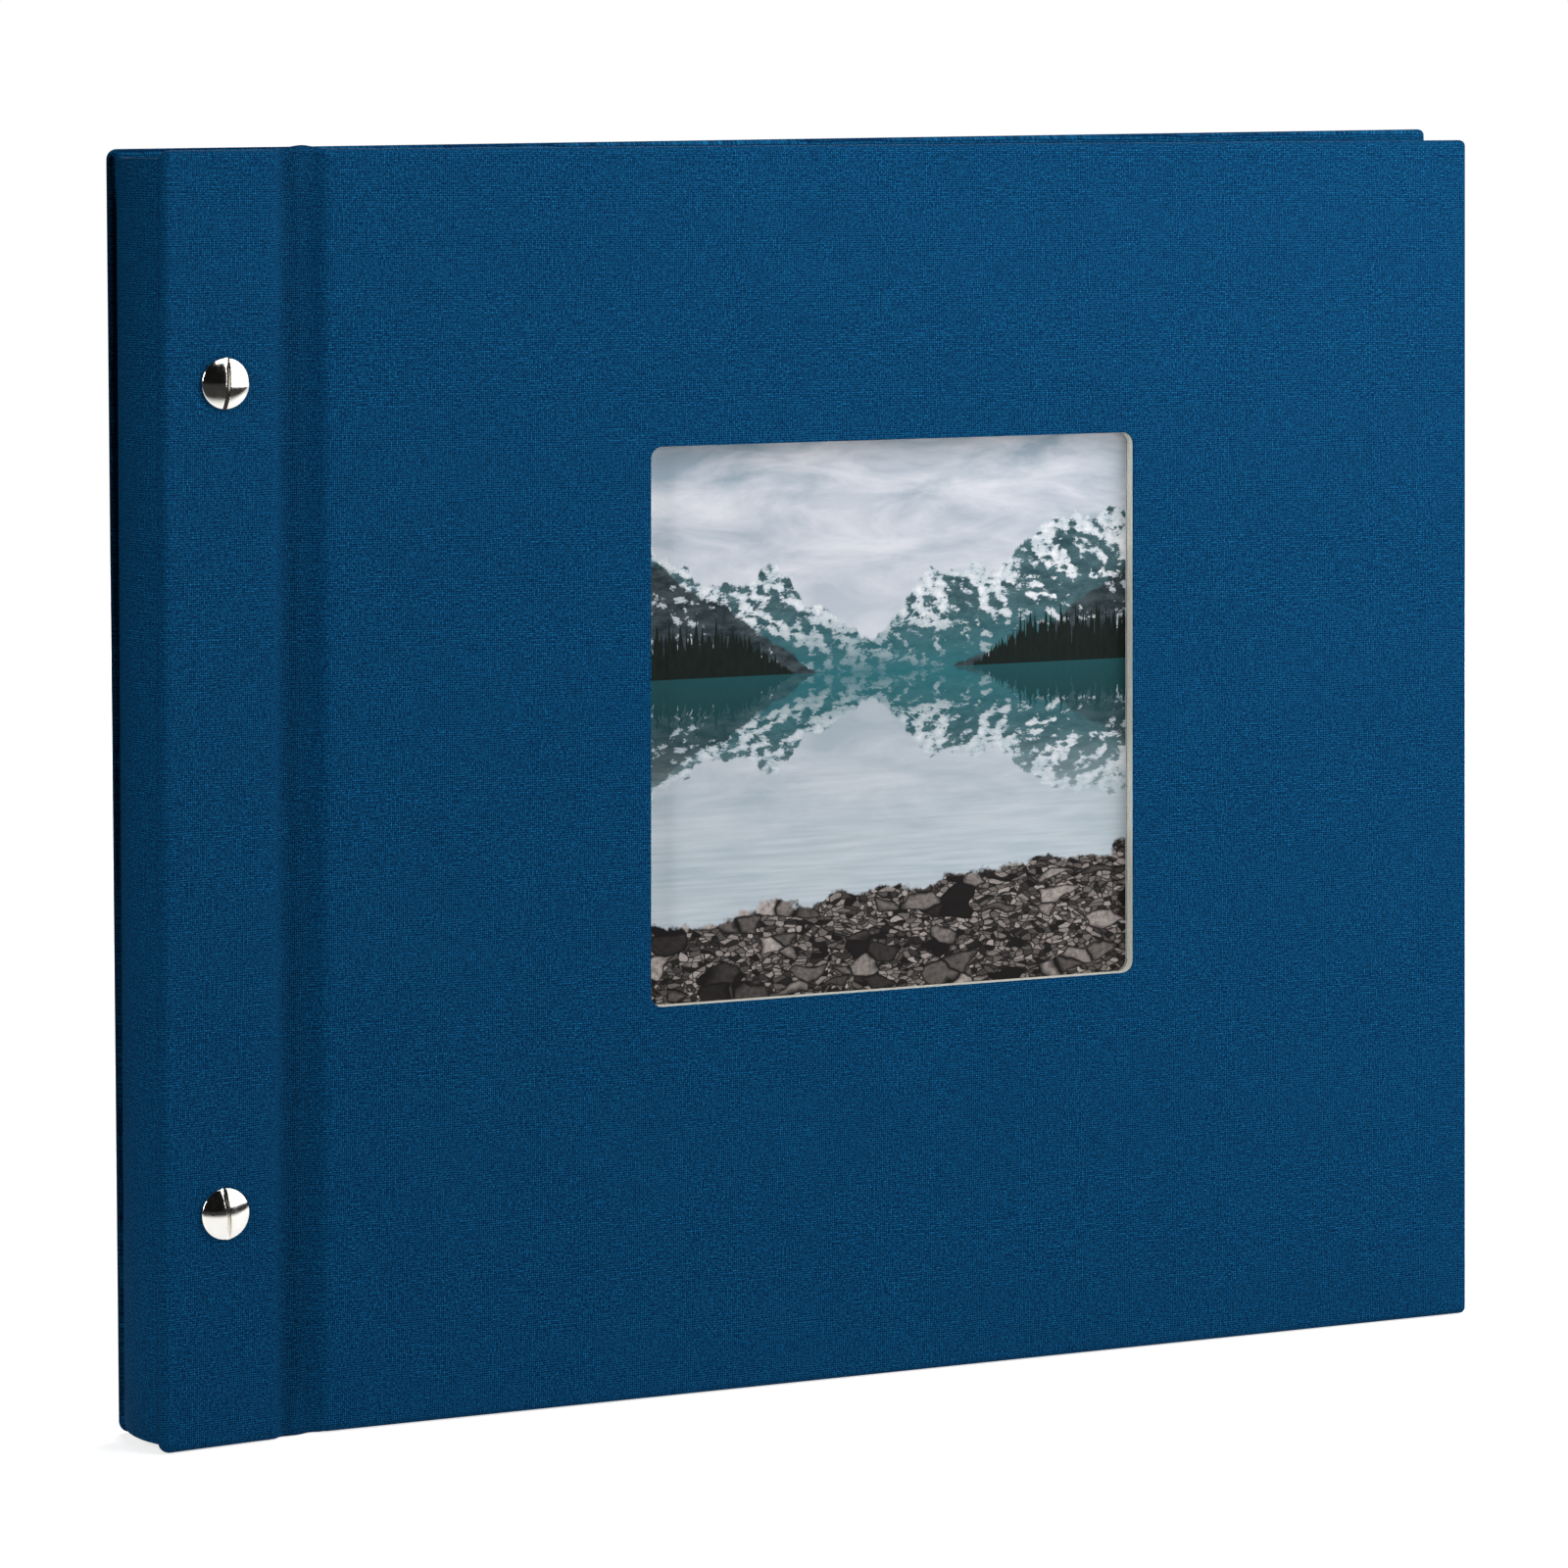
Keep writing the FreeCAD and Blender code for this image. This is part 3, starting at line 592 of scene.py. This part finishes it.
def bore(piece):
    """Cuts the two post holes through a strip."""
    for height in SCREW_HEIGHTS.values():
        bpy.ops.mesh.primitive_cylinder_add(
            vertices=40, radius=POST_HOLE_RADIUS, depth=60 * MM,
            location=(SPINE_X + SCREW_ALONG, MIDDLE_Y, height), rotation=(math.pi / 2, 0, 0),
        )
        cutter = bpy.context.object
        add_cut(piece, "bore", cutter)
        apply_modifiers(piece)
        bpy.data.objects.remove(cutter)
    piece.data.set_sharp_from_angle(angle=math.radians(40))


def cover_skin(name, side, window, skew):
    """A whole cover, strip and board together, in one continuous piece of cloth."""
    path = PATHS[side]
    radii = (SPINE_CORNER, EDGE_RADIUS, EDGE_RADIUS, SPINE_CORNER)
    if window:
        window = (path.run_at(window[0]), *window[1:])
    bm = slab(path.total, HEIGHT, THICK, radii, EDGE_RADIUS, window)
    bend_from, bend_to = path.run_at(STRIP_WIDTH - 3 * MM), path.run_at(GROOVE_END + 3 * MM)
    cut_at(bm, 0, np.arange(bend_from, bend_to, 0.45 * MM))
    around = 8 * MM
    cut_at(bm, 0, path.run_at(SCREW_ALONG) + np.arange(-around, around + MM / 2, MM))
    for height in SCREW_HEIGHTS.values():
        cut_at(bm, 2, height + np.arange(-around, around + MM / 2, MM))
    for step in (2, 3, 4, 6, 8, 11, 16, 24):
        cut_at(bm, 2, (step * MM, HEIGHT - step * MM))
    add_weave_map(bm, path.total, HEIGHT, WEAVE_SLANT)
    seat = seat_out(side)
    for vert in bm.verts:
        run, depth, up = vert.co
        along, out = path.at(run, depth)
        in_groove = math.exp(-(((along - STRIP_WIDTH - 5.2 * MM) / (4.0 * MM)) ** 2))
        near_end = math.exp(-((min(up, HEIGHT - up) / (7 * MM)) ** 2))
        out += 1.5 * MM * in_groove * near_end
        if side == FRONT and up > RUCK_FROM * HEIGHT:
            ruck = math.exp(-(((along - STRIP_WIDTH - 7.0 * MM) / (3.8 * MM)) ** 2))
            up += RUCK * ruck * (up / HEIGHT - RUCK_FROM) / (1 - RUCK_FROM)
        for height in SCREW_HEIGHTS.values():
            away = math.hypot(along - SCREW_ALONG, up - height)
            seat_dent_or_groove_shade = min(max((SEAT_RADIUS - away) / SEAT_SLOPE, 0.0), 1.0)
            if depth < 0.1 * MM and out > seat:
                out -= (out - seat) * seat_dent_or_groove_shade * seat_dent_or_groove_shade * (3 - 2 * seat_dent_or_groove_shade)
        along, up = skewed(along, up, skew)
        if skew:
            along += BACK_SHIFT
            on_strip = min(max((GROOVE_END - along) / (GROOVE_END - STRIP_WIDTH), 0.0), 1.0)
            along -= BACK_STRIP_LEAN * up / HEIGHT * on_strip
        vert.co = (SPINE_X + along, MIDDLE_Y + side * out, up)
    piece = add_object(name, finished(bm, name), cloth)
    bore(piece)
    return piece


def spine_flap(name):
    """The cloth flap of the front strip: a slab bowed round the bound edge, over the spine."""
    start, stop, thick = -11.7 * MM, 6.9 * MM, 1.6 * MM
    chord = stop - start
    radius = chord**2 / (8 * FLAP_BULGE) + FLAP_BULGE / 2
    half_angle = math.asin(chord / 2 / radius)
    total = 2 * half_angle * radius
    bottom, top = 1.5 * MM, HEIGHT - 1.5 * MM
    fixed_corner, free_corner = 0.3 * MM, 3.0 * MM
    radii = (fixed_corner, free_corner, free_corner, fixed_corner)
    bm = slab(total, top - bottom, thick, radii, 0.6 * MM)
    cut_at(bm, 0, np.linspace(0, total, 24)[1:-1])
    cut_at(bm, 2, np.linspace(0, top - bottom, 12)[1:-1])
    add_weave_map(bm, total, top - bottom)
    for vert in bm.verts:
        run, depth, up = vert.co
        angle = run / radius - half_angle
        reach = radius - depth
        gape = 1.9 * MM * (up / (top - bottom) - 0.25) * (run / total) ** 1.5
        vert.co = (
            SPINE_X + radius - FLAP_BULGE - reach * math.cos(angle) - gape,
            MIDDLE_Y + (start + stop) / 2 + reach * math.sin(angle),
            bottom + up,
        )
    return add_object(name, finished(bm, name), cloth)


def flat_sheet(name, corners, thick, material, skew):
    """A thin flat sheet on the back cover, from (low x, y, low z) to (high x, y, high z)."""
    (x0, y0, z0), (x1, _, z1) = corners
    bm = slab(x1 - x0, z1 - z0, thick, (0.5 * MM,) * 4, min(0.06 * MM, thick / 3))
    for vert in bm.verts:
        along, depth, up = vert.co
        along, up = skewed(x0 - SPINE_X + along, z0 + up, skew)
        vert.co = (SPINE_X + along + BACK_SHIFT, y0 + depth, up)
    return add_object(name, finished(bm, name), material)


def sheet(name, path, bottom, top, material):
    """A thin upright sheet. path is (x, front y, back y) from its bound end to its fore edge."""
    bm = bmesh.new()
    layer = bm.loops.layers.uv.new("sheet")
    corner = {}
    for i, (x, near, far) in enumerate(path):
        for j, y in enumerate((near, far)):
            for k, z in enumerate((bottom, top)):
                corner[i, j, k] = bm.verts.new((x, y, z))
    round_section = ((0, 0), (0, 1), (1, 1), (1, 0), (0, 0))
    for i in range(len(path) - 1):
        for here, beside in zip(round_section, round_section[1:]):
            stations = ((i, here), (i + 1, here), (i + 1, beside), (i, beside))
            bm.faces.new([corner[station, j, k] for station, (j, k) in stations])
    for i in (0, len(path) - 1):
        bm.faces.new((corner[i, 0, 0], corner[i, 0, 1], corner[i, 1, 1], corner[i, 1, 0]))
    for face in bm.faces:
        for loop in face.loops:
            loop[layer].uv = (loop.vert.co.x / MM, loop.vert.co.z / MM + loop.vert.co.y * 3 / MM)
    return add_object(name, finished(bm, name, 50), material)


def inner_out(side, along):
    """How far out a strip's inner face lies."""
    rise, flare = LIFT[side]
    steep = (flare - rise) / STRIP_WIDTH
    return HALF_DEPTH + rise + (STRIP_WIDTH - along) * steep - THICK / math.cos(math.atan(steep))


def leaf_sheets(number):
    """Leaf and tissue number, each from inside its stub, through its fold, to its fore edge."""
    play, stub, gap, thin = 0.35 * MM, 0.7 * MM, 0.1 * MM, 0.04 * MM
    stub_start, sheet_start = 2.5 * MM, 21 * MM
    knee, free, turned = 25 * MM, 34 * MM, 45 * MM
    low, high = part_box(f"leaf_{number:02d}")
    tissue_low, tissue_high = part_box(f"interleaf_{number:02d}")

    def stub_front(along):
        first = play - inner_out(FRONT, along)
        last = inner_out(BACK, along) - play - stub - gap - thin
        return MIDDLE_Y + first + (last - first) * (number - 1) / (LEAVES - 1)

    slope = (stub_front(STRIP_WIDTH) - stub_front(stub_start)) / (STRIP_WIDTH - stub_start)

    def along_path(body_low, body_high, offset, thick):
        places = [sheet_start, knee] + list(np.arange(26, 48, 1.0) * MM) + [60 * MM, 150 * MM]
        places.append(body_high.x - SPINE_X)
        path = []
        for along in places:
            bound = stub_front(stub_start) + slope * (min(along, knee) - stub_start) + offset
            share = min(max((along - knee) / (free - knee), 0.0), 1.0)
            y = bound + (body_low.y - bound) * share * share * (3 - 2 * share)
            path.append((SPINE_X + along, y, y + thick))
        return path

    card_path = along_path(low, high, (stub - (high.y - low.y)) / 2, high.y - low.y)
    leaf = sheet(f"leaf_sheet_{number:02d}", card_path, low.z, high.z, card)
    tissue_path = along_path(tissue_low, tissue_high, stub + gap, thin)
    veil = sheet(f"tissue_sheet_{number:02d}", tissue_path, tissue_low.z, tissue_high.z, tissue)
    for piece, node, slot in ((leaf, "leaf", "leaf_card"), (veil, "interleaf", "glassine")):
        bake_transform(piece)
        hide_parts(f"{node}_{number:02d}")


def lathe(profile, segments, name, material, thread=None):
    """A solid turned about its own z axis from (radius, z) points, first and last on the axis.

    A thread is (low z, high z, pitch, depth).
    """
    bm = bmesh.new()
    rings = []
    for radius, z in profile:
        if radius == 0.0:
            rings.append([bm.verts.new((0, 0, z))])
            continue
        ring = []
        for i in range(segments):
            angle = 2 * math.pi * i / segments
            r = radius
            if thread and thread[0] <= z <= thread[1]:
                phase = (z / thread[2] - angle / (2 * math.pi)) % 1
                r -= thread[3] * abs(2 * phase - 1)
            ring.append(bm.verts.new((r * math.cos(angle), r * math.sin(angle), z)))
        rings.append(ring)
    for first, second in zip(rings, rings[1:]):
        if len(first) == 1 or len(second) == 1:
            tip, ring = (first[0], second) if len(first) == 1 else (second[0], first)
            for i in range(segments):
                bm.faces.new((tip, ring[i], ring[(i + 1) % segments]))
        else:
            bridge(bm, first, second)
    return add_object(name, finished(bm, name, 35), material)


def fastener(kind, title, side, lean):
    """A slotted domed head with a screw's thread or a post's barrel, seated on a strip."""
    head, rim, dome = 5.0 * MM, 0.6 * MM, 1.5 * MM
    slot_width, slot_depth = 0.9 * MM, 1.6 * MM
    ball = (head**2 + dome**2) / (2 * dome)
    steps = 26
    edge = math.asin(head / ball)
    profile = [(0.0, rim + dome)]
    for i in range(1, steps + 1):
        angle = edge * i / steps
        if ball * math.sin(angle) < head - 0.12 * MM:
            profile.append((ball * math.sin(angle), rim + dome - ball * (1 - math.cos(angle))))
    profile += [(head - 0.05 * MM, rim + 0.02 * MM), (head, rim - 0.08 * MM), (head, 0.12 * MM)]
    profile += [(head - 0.12 * MM, 0.0)]
    thread = None
    if kind == "screw":
        shank, body, pitch = 9.65 * MM, 1.98 * MM, 0.7 * MM
        runout = -shank + 0.5 * MM
        thread = (runout, -1.2 * MM, pitch, 0.32 * MM)
        profile += [(body, 0.0), (body, -1.19 * MM)]
        profile += [(body, z) for z in np.arange(-1.21 * MM, runout, -0.07 * MM)]
        profile += [(1.5 * MM, -shank), (0.0, -shank)]
    else:
        barrel = seat_out(FRONT) + seat_out(BACK) - 2.65 * MM
        outside, inside, floor_z = 2.5 * MM, 2.03 * MM, -2.0 * MM
        profile += [(outside, 0.0), (outside, 0.15 * MM - barrel), (2.35 * MM, -barrel)]
        profile += [(2.1 * MM, -barrel), (inside, 0.1 * MM - barrel), (inside, floor_z)]
        profile += [(0.0, floor_z)]
    name = f"{title}_{kind}"
    piece = lathe(profile, 72, name, metal, thread)
    bpy.ops.mesh.primitive_cube_add(size=1, location=(0, 0, rim + dome - slot_depth + 5 * MM))
    cutter = bpy.context.object
    cutter.scale = (slot_width, 4 * head, 10 * MM)
    add_cut(piece, "slot", cutter)
    soften = piece.modifiers.new("edges", "BEVEL")
    soften.width, soften.segments, soften.limit_method = 0.05 * MM, 2, "ANGLE"
    soften.angle_limit = math.radians(50)
    apply_modifiers(piece)
    mesh = piece.data
    bpy.data.objects.remove(cutter)
    mesh.set_sharp_from_angle(angle=math.radians(35))
    piece.rotation_mode = "YXZ"
    piece.rotation_euler = (math.pi / 2 * (1 if side == FRONT else -1), 0, 0)
    bpy.context.view_layer.update()
    mesh.transform(piece.matrix_world)
    piece.rotation_euler = (0, 0, 0)
    angle = math.radians(lean)
    cos, sin = math.cos(angle), math.sin(angle)
    seat = MIDDLE_Y + side * seat_out(side)
    where = Vector((SPINE_X + SCREW_ALONG, seat, SCREW_HEIGHTS[title]))
    for vert in mesh.vertices:
        x, y, z = vert.co
        vert.co = where + Vector((x * cos + z * sin, y, z * cos - x * sin))
    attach(piece, name)
    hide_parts(f"{title}_binding_{kind}")


# The album

front_skin = cover_skin("front_cover_skin", FRONT, WINDOW, 0.0)
back_skin = cover_skin("back_cover_skin", BACK, None, BACK_SKEW)
for piece, title in ((front_skin, "front"), (back_skin, "back")):
    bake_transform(piece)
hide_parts("front_strip_cloth", "front_strip_board", "front_cover_cloth")
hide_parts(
    "back_strip_cloth", "back_strip_board", "back_cover_cloth", "back_cover_board",
    "back_cover_infill",
)

flap = spine_flap("spine_flap")
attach(flap, "binding")
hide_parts("spine_flap_board")

lining_thick = lining_high.y - lining_low.y
back_lining = flat_sheet(
    "back_lining_sheet", (lining_low, lining_high), lining_thick, lining_paper, BACK_SKEW
)
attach(back_lining, "back_cover")
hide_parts("back_cover_lining")

for number in range(1, LEAVES + 1):
    leaf_sheets(number)
for title, lean in (("upper", 3.0), ("lower", -6.0)):
    fastener("screw", title, FRONT, lean)
    fastener("post", title, BACK, lean)

picture = landscape()
for node, material in {
    "front_cover_board": board_finish,
    "front_cover_infill": board_finish,
    "front_cover_lining": lining_paper,
    "print_pocket": lining_paper,
    "window_print": picture,
    "leaf_stubs": stub_card,
    "interleaf_stubs": stub_card,
}.items():
    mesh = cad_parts[node].data
    mesh.materials.clear()
    mesh.materials.append(material)


# Studio

AMBIENT = 0.06
GLOSSY_DIM = 0.1
WHITE = (1, 1, 1, 1)

# The floor looks nearly white. Reflections see a table's breadth of it, and almost black beyond.
bpy.ops.mesh.primitive_plane_add(size=12, location=(0, 0, -0.0002))
floor = bpy.context.object
floor.name = "floor"
ground = Graph("pale_floor", roughness=0.9, specular=0.0)
spot = ground.node("TexCoord").outputs["Object"]
rays = ground.node("LightPath").outputs
ahead = ground.math("ABSOLUTE", ground.separated(spot)[1])
table = ground.span(ahead, 0.14, 0.30, 1.0, 0.04, smooth=True)
unlit = ground.math("MULTIPLY", rays["Is Glossy Ray"], ground.math("SUBTRACT", 1.0, table))
ground.colour(ground.mix(unlit, (0.82, 0.82, 0.82), (0.0, 0.0, 0.0)))
away = ground.node("VectorMath", {0: spot}, operation="LENGTH").outputs["Value"]
glow = ground.span(away, 0.15, 0.9, 0.72, 0.97, smooth=True)
seen = ground.math("MULTIPLY", rays["Is Camera Ray"], glow)
mirrored = ground.math("MULTIPLY", ground.math("MULTIPLY", rays["Is Glossy Ray"], table), 0.7)
ground.put(ground.shader, "Emission Color", WHITE)
ground.put(ground.shader, "Emission Strength", ground.math("ADD", seen, mirrored))
floor.data.materials.append(ground.material)

# The world looks white, lights the album a little, and is dimmer still in its reflections.
world = bpy.data.worlds.new("studio")
bpy.context.scene.world = world
world.use_nodes = True
tree = world.node_tree
backdrop = tree.nodes["Background"]
world_rays = tree.nodes.new("ShaderNodeLightPath").outputs
product = tree.nodes.new("ShaderNodeMath")
product.operation = "MULTIPLY"
for i, (ray, otherwise, if_so) in enumerate(
    (("Is Camera Ray", AMBIENT, 1.0), ("Is Glossy Ray", 1.0, GLOSSY_DIM))
):
    level = tree.nodes.new("ShaderNodeMapRange")
    level.inputs["To Min"].default_value = otherwise
    level.inputs["To Max"].default_value = if_so
    tree.links.new(world_rays[ray], level.inputs["Value"])
    tree.links.new(level.outputs["Result"], product.inputs[i])
tree.links.new(product.outputs[0], backdrop.inputs["Strength"])
backdrop.inputs["Color"].default_value = WHITE


def softbox(name, place, towards, width, height, power):
    """A rectangular area light."""
    light = bpy.data.lights.new(name, "AREA")
    light.shape, light.size, light.size_y, light.energy = "RECTANGLE", width, height, power
    lamp = bpy.data.objects.new(name, light)
    bpy.context.scene.collection.objects.link(lamp)
    lamp.location = place
    lamp.rotation_euler = (Vector(towards) - Vector(place)).to_track_quat("-Z", "Y").to_euler()
    lamp.visible_camera = False


softbox("key", (0.30, -0.31, 0.56), (-0.137, 0.127, 0.56), 0.66, 0.89, 4.0)
softbox("top", (0.02, -0.15, 0.45), (0.0, 0.0, 0.22), 0.36, 0.1, 0.3)
softbox("back", (0.7, 1.6, 1.0), (0.0, 0.0, 0.12), 1.0, 1.0, 26)
softbox("side", (-2.85, -1.28, 1.3), (-0.137, 0, 0.12), 0.5, 1.5, 34)

# A black card beside the spine keeps the side light off the back strip's edge.
bpy.ops.mesh.primitive_plane_add(size=1, location=(0, 0, 0))
flag = bpy.context.object
flag.name = "flag"
flag_y = MIDDLE_Y + 8.2 * MM
flag_edge, flag_foot = SPINE_X - 0.6 * MM, 4 * MM
flag_corners = (
    (SPINE_X - 6 * MM, flag_foot), (flag_edge, flag_foot),
    (SPINE_X - 26 * MM, HEIGHT), (flag_edge, HEIGHT),
)
flag.data.vertices.foreach_set("co", np.array([(x, flag_y, z) for x, z in flag_corners]).ravel())
black = Graph("black_card", roughness=1.0, specular=0.0)
black.colour((0.0, 0.0, 0.0))
flag.data.materials.append(black.material)
flag.visible_camera = flag.visible_glossy = flag.visible_transmission = False

CAMERA_PLACE = (-0.6549, -1.2186, 0.2701)
CAMERA_TURN = math.radians(27.936)
LENS_SHIFT = -0.4708
lens = bpy.data.cameras.new("camera")
camera = bpy.data.objects.new("camera", lens)
bpy.context.scene.collection.objects.link(camera)
camera.location = CAMERA_PLACE
camera.rotation_euler = (math.pi / 2, 0, -CAMERA_TURN)
lens.sensor_width, lens.lens = 36.0, 155.94
lens.clip_start, lens.clip_end = 0.01, 50
# The lens is shifted in the main view only: the other views aim the camera at the album.
shift = lens.driver_add("shift_y").driver
where = shift.variables.new()
where.name, where.type = "where", "TRANSFORMS"
where.targets[0].id = camera
where.targets[0].transform_type = "LOC_X"
shift.expression = f"{LENS_SHIFT} if abs(where + {-CAMERA_PLACE[0]}) < 0.0005 else 0"
bpy.context.scene.camera = camera
bpy.context.scene.view_settings.view_transform = "Standard"
bpy.context.scene.view_settings.look = "None"
